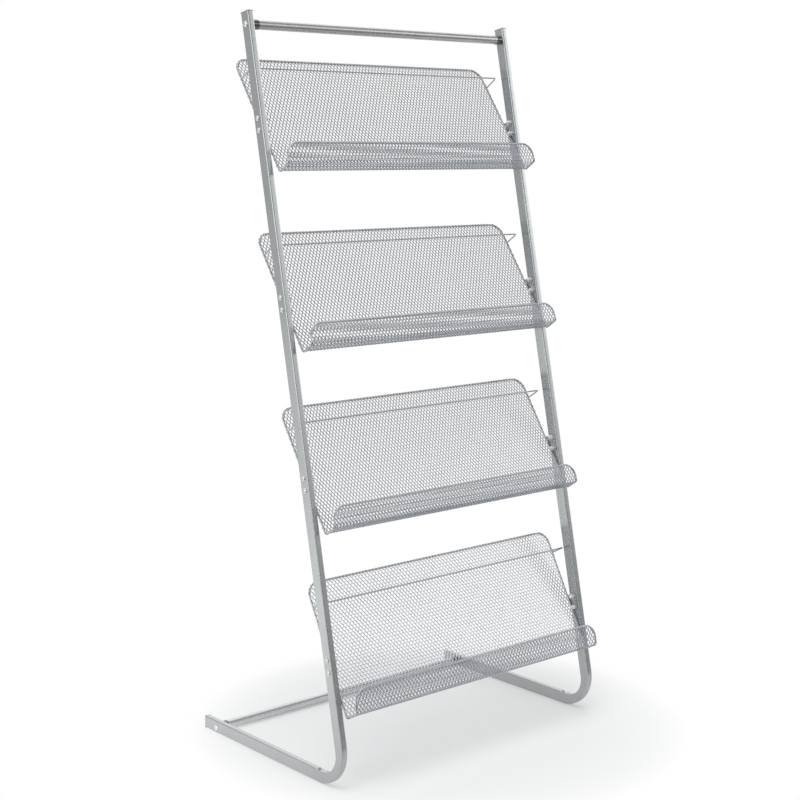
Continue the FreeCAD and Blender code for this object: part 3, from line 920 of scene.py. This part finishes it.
# ----------------------------------------------------------------------- stage
def stage_floor():
    """A pale floor that glows: its far part as white as the background, so no edge shows, and near the rack a dimmer
    painted glow that lifts its shading and shadows.
    """
    m, nt, p = material("pale_floor")
    out = [n for n in nt.nodes if n.type == "OUTPUT_MATERIAL"][0]
    c = nt.nodes.new("ShaderNodeTexCoord").outputs["Object"]
    ln = nt.nodes.new("ShaderNodeVectorMath")
    ln.operation = "LENGTH"
    nt.links.new(c, ln.inputs[0])
    mr = nt.nodes.new("ShaderNodeMapRange")
    mr.interpolation_type = "SMOOTHERSTEP"
    mr.inputs["From Min"].default_value = 0.25
    mr.inputs["From Max"].default_value = 0.73
    nt.links.new(ln.outputs["Value"], mr.inputs["Value"])
    p.inputs["Base Color"].default_value = (0.77, 0.78, 0.785, 1)
    p.inputs["Roughness"].default_value = 0.7
    p.inputs["Specular IOR Level"].default_value = 0.1
    em = nt.nodes.new("ShaderNodeEmission")
    em.inputs["Color"].default_value = (1, 1, 1, 1)
    # white where it is seen; for what the rack mirrors the glow is painted light, dimmer towards the front of the room
    # and raised towards the front-left corner
    ax = nt.nodes.new("ShaderNodeSeparateXYZ")
    nt.links.new(c, ax.inputs[0])
    dim = nt.nodes.new("ShaderNodeMapRange")
    dim.interpolation_type = "SMOOTHSTEP"
    for k, v in (("From Min", -1.3), ("From Max", 0.5), ("To Min", 0.1), ("To Max", 0.8)):
        dim.inputs[k].default_value = v
    along = nt.nodes.new("ShaderNodeMath")
    along.operation = "MULTIPLY_ADD"
    along.inputs[1].default_value = 0.5
    nt.links.new(ax.outputs["X"], along.inputs[0])
    nt.links.new(ax.outputs["Y"], along.inputs[2])
    nt.links.new(along.outputs[0], dim.inputs["Value"])
    corner = nt.nodes.new("ShaderNodeMath")
    corner.operation = "ADD"
    nt.links.new(ax.outputs["Y"], corner.inputs[0])
    nt.links.new(ax.outputs["X"], corner.inputs[1])
    left = nt.nodes.new("ShaderNodeMath")
    left.operation = "MULTIPLY"
    nt.links.new(dim.outputs[0], left.inputs[0])
    nt.links.new(spread(nt, corner.outputs[0], 1.65, 1.0, -0.3, 0.2), left.inputs[1])
    seen = nt.nodes.new("ShaderNodeMix")
    seen.data_type = "FLOAT"
    nt.links.new(nt.nodes.new("ShaderNodeLightPath").outputs["Is Camera Ray"], seen.inputs["Factor"])
    nt.links.new(left.outputs[0], seen.inputs[2])
    seen.inputs[3].default_value = 1.0
    # painted glow: strength 0.79 near the rack, rising to full white far out
    glow = nt.nodes.new("ShaderNodeMath")
    glow.operation = "MULTIPLY"
    nt.links.new(seen.outputs[0], glow.inputs[0])
    nt.links.new(spread(nt, mr.outputs[0], 0.79, 1.0, 0.0, 0.6), glow.inputs[1])
    nt.links.new(glow.outputs[0], em.inputs["Strength"])
    # even near the rack 0.4 of the floor is this painted glow, lifting its shading and the rack's shadows on it
    mx = nt.nodes.new("ShaderNodeMixShader")
    part = spread(nt, mr.outputs[0], 0.4, 1.0, 0.0, 0.8)
    nt.links.new(part, mx.inputs[0])
    nt.links.new(p.outputs[0], mx.inputs[1])
    nt.links.new(em.outputs[0], mx.inputs[2])
    nt.links.new(mx.outputs[0], out.inputs[0])
    me = bpy.data.meshes.new("floor")
    R, n = 9.0, 96
    me.from_pydata([(R * math.cos(2 * math.pi * k / n), R * math.sin(2 * math.pi * k / n), 0) for k in range(n)], [], [tuple(range(n))])
    me.materials.append(m)
    o = bpy.data.objects.new("floor", me)
    o.location = (0.05, -0.05, 0.0)
    bpy.context.scene.collection.objects.link(o)
    return o


stage_floor()

# The studio: a white sweep behind, a dim room in front, a soft box on each side.
world = bpy.data.worlds.new("studio")
bpy.context.scene.world = world
world.use_nodes = True
nt = world.node_tree
nt.nodes.clear()
wo = nt.nodes.new("ShaderNodeOutputWorld")
way = nt.nodes.new("ShaderNodeTexCoord").outputs["Generated"]


def lobe(direction, d0, d1, v0, v1):
    """v0 away from a direction, v1 around it; d0 and d1 are cosines."""
    d = nt.nodes.new("ShaderNodeVectorMath")
    d.operation = "DOT_PRODUCT"
    d.inputs[1].default_value = Vector(direction).normalized()
    nt.links.new(way, d.inputs[0])
    r = nt.nodes.new("ShaderNodeMapRange")
    r.interpolation_type = "SMOOTHSTEP"
    r.inputs["From Min"].default_value = d0
    r.inputs["From Max"].default_value = d1
    r.inputs["To Min"].default_value = v0
    r.inputs["To Max"].default_value = v1
    nt.links.new(d.outputs["Value"], r.inputs["Value"])
    return r.outputs[0]


def total(a, b):
    m = nt.nodes.new("ShaderNodeMath")
    m.operation = "ADD"
    nt.links.new(a, m.inputs[0])
    nt.links.new(b, m.inputs[1])
    return m.outputs[0]


def product(a, b):
    m = nt.nodes.new("ShaderNodeMath")
    m.operation = "MULTIPLY"
    nt.links.new(a, m.inputs[0])
    nt.links.new(b, m.inputs[1])
    return m.outputs[0]


sweep = product(lobe((0, 1, 0), -0.15, 0.35, 0.0, 1.0), lobe((1, 0, 0), -0.6, 0.6, 0.42, 0.95))
light = total(total(sweep, lobe((0, 0, 1), 0.5, 0.95, 0.1, 0.35)), lobe((0, 0, 1), 0.78, 0.95, 0.0, 0.72))
upper_edge = lobe((0, 0, 1), 0.40, 0.52, 1.0, 0.0)
wide_box = product(lobe((0, 0, 1), -0.05, 0.3, 0.14, 0.95), lobe((0.5, -0.87, 0), 0.55, 0.85, 0.0, 1.0))
right_box = product(lobe((0, 0, 1), -0.1, 0.25, 0.2, 1.55), lobe((0.95, -0.15, 0.27), 0.78, 0.9, 0.0, 1.0))
right_box = product(right_box, lobe((0, 0, 1), 0.3, 0.45, 1.0, 0.0))
light = total(light, product(upper_edge, total(wide_box, right_box)))
left_box = product(lobe((0, 0, 1), -0.15, 0.05, 0.0, 1.9), lobe((0, 0, 1), 0.45, 0.62, 1.0, 0.0))
light = total(light, product(left_box, lobe((-0.99, -0.12, 0), 0.80, 0.95, 0.0, 1.0)))
bg = nt.nodes.new("ShaderNodeBackground")
nt.links.new(light, bg.inputs["Color"])
white = nt.nodes.new("ShaderNodeBackground")
white.inputs["Color"].default_value = (1, 1, 1, 1)
white.inputs["Strength"].default_value = 1.0
lp = nt.nodes.new("ShaderNodeLightPath")
mx = nt.nodes.new("ShaderNodeMixShader")
nt.links.new(lp.outputs["Is Camera Ray"], mx.inputs[0])
nt.links.new(bg.outputs[0], mx.inputs[1])
nt.links.new(white.outputs[0], mx.inputs[2])
nt.links.new(mx.outputs[0], wo.inputs[0])


def softbox(name, at, to, w, h, power, glossy=True):
    l = bpy.data.lights.new(name, "AREA")
    l.shape = "RECTANGLE"
    l.size, l.size_y = w, h
    l.energy = power
    o = bpy.data.objects.new(name, l)
    o.location = at
    o.rotation_mode = "QUATERNION"
    o.rotation_quaternion = (Vector(to) - Vector(at)).to_track_quat("-Z", "Y")
    o.visible_glossy = glossy
    bpy.context.scene.collection.objects.link(o)
    return o


softbox("overhead", (-2.2, -1.65, 8.6), (0, 0, 0.6), 5.0, 5.0, 440, False)

# ---------------------------------------------------------------------- camera
cam_d = bpy.data.cameras.new("camera")
cam = bpy.data.objects.new("camera", cam_d)
bpy.context.scene.collection.objects.link(cam)
az, pitch = math.radians(40.725), math.radians(6.713)
cam_at = to_world([(-2121.3, -2229.8, 1191.2)])[0]
fw = Vector((math.sin(az) * math.cos(pitch), math.cos(az) * math.cos(pitch), -math.sin(pitch)))
cam.location = Vector(cam_at)
cam.rotation_mode = "QUATERNION"
cam.rotation_quaternion = fw.to_track_quat("-Z", "Y")
cam_d.sensor_fit = "HORIZONTAL"
cam_d.sensor_width = 36.0
cam_d.lens = 36.0 * 1586.7 / 800.0
cam_d.shift_x = 0.0
cam_d.shift_y = -60.0 / 800.0
cam_d.clip_start, cam_d.clip_end = 0.05, 60.0
bpy.context.scene.camera = cam
bpy.context.scene.view_settings.view_transform = "Standard"
bpy.context.scene.view_settings.look = "None"
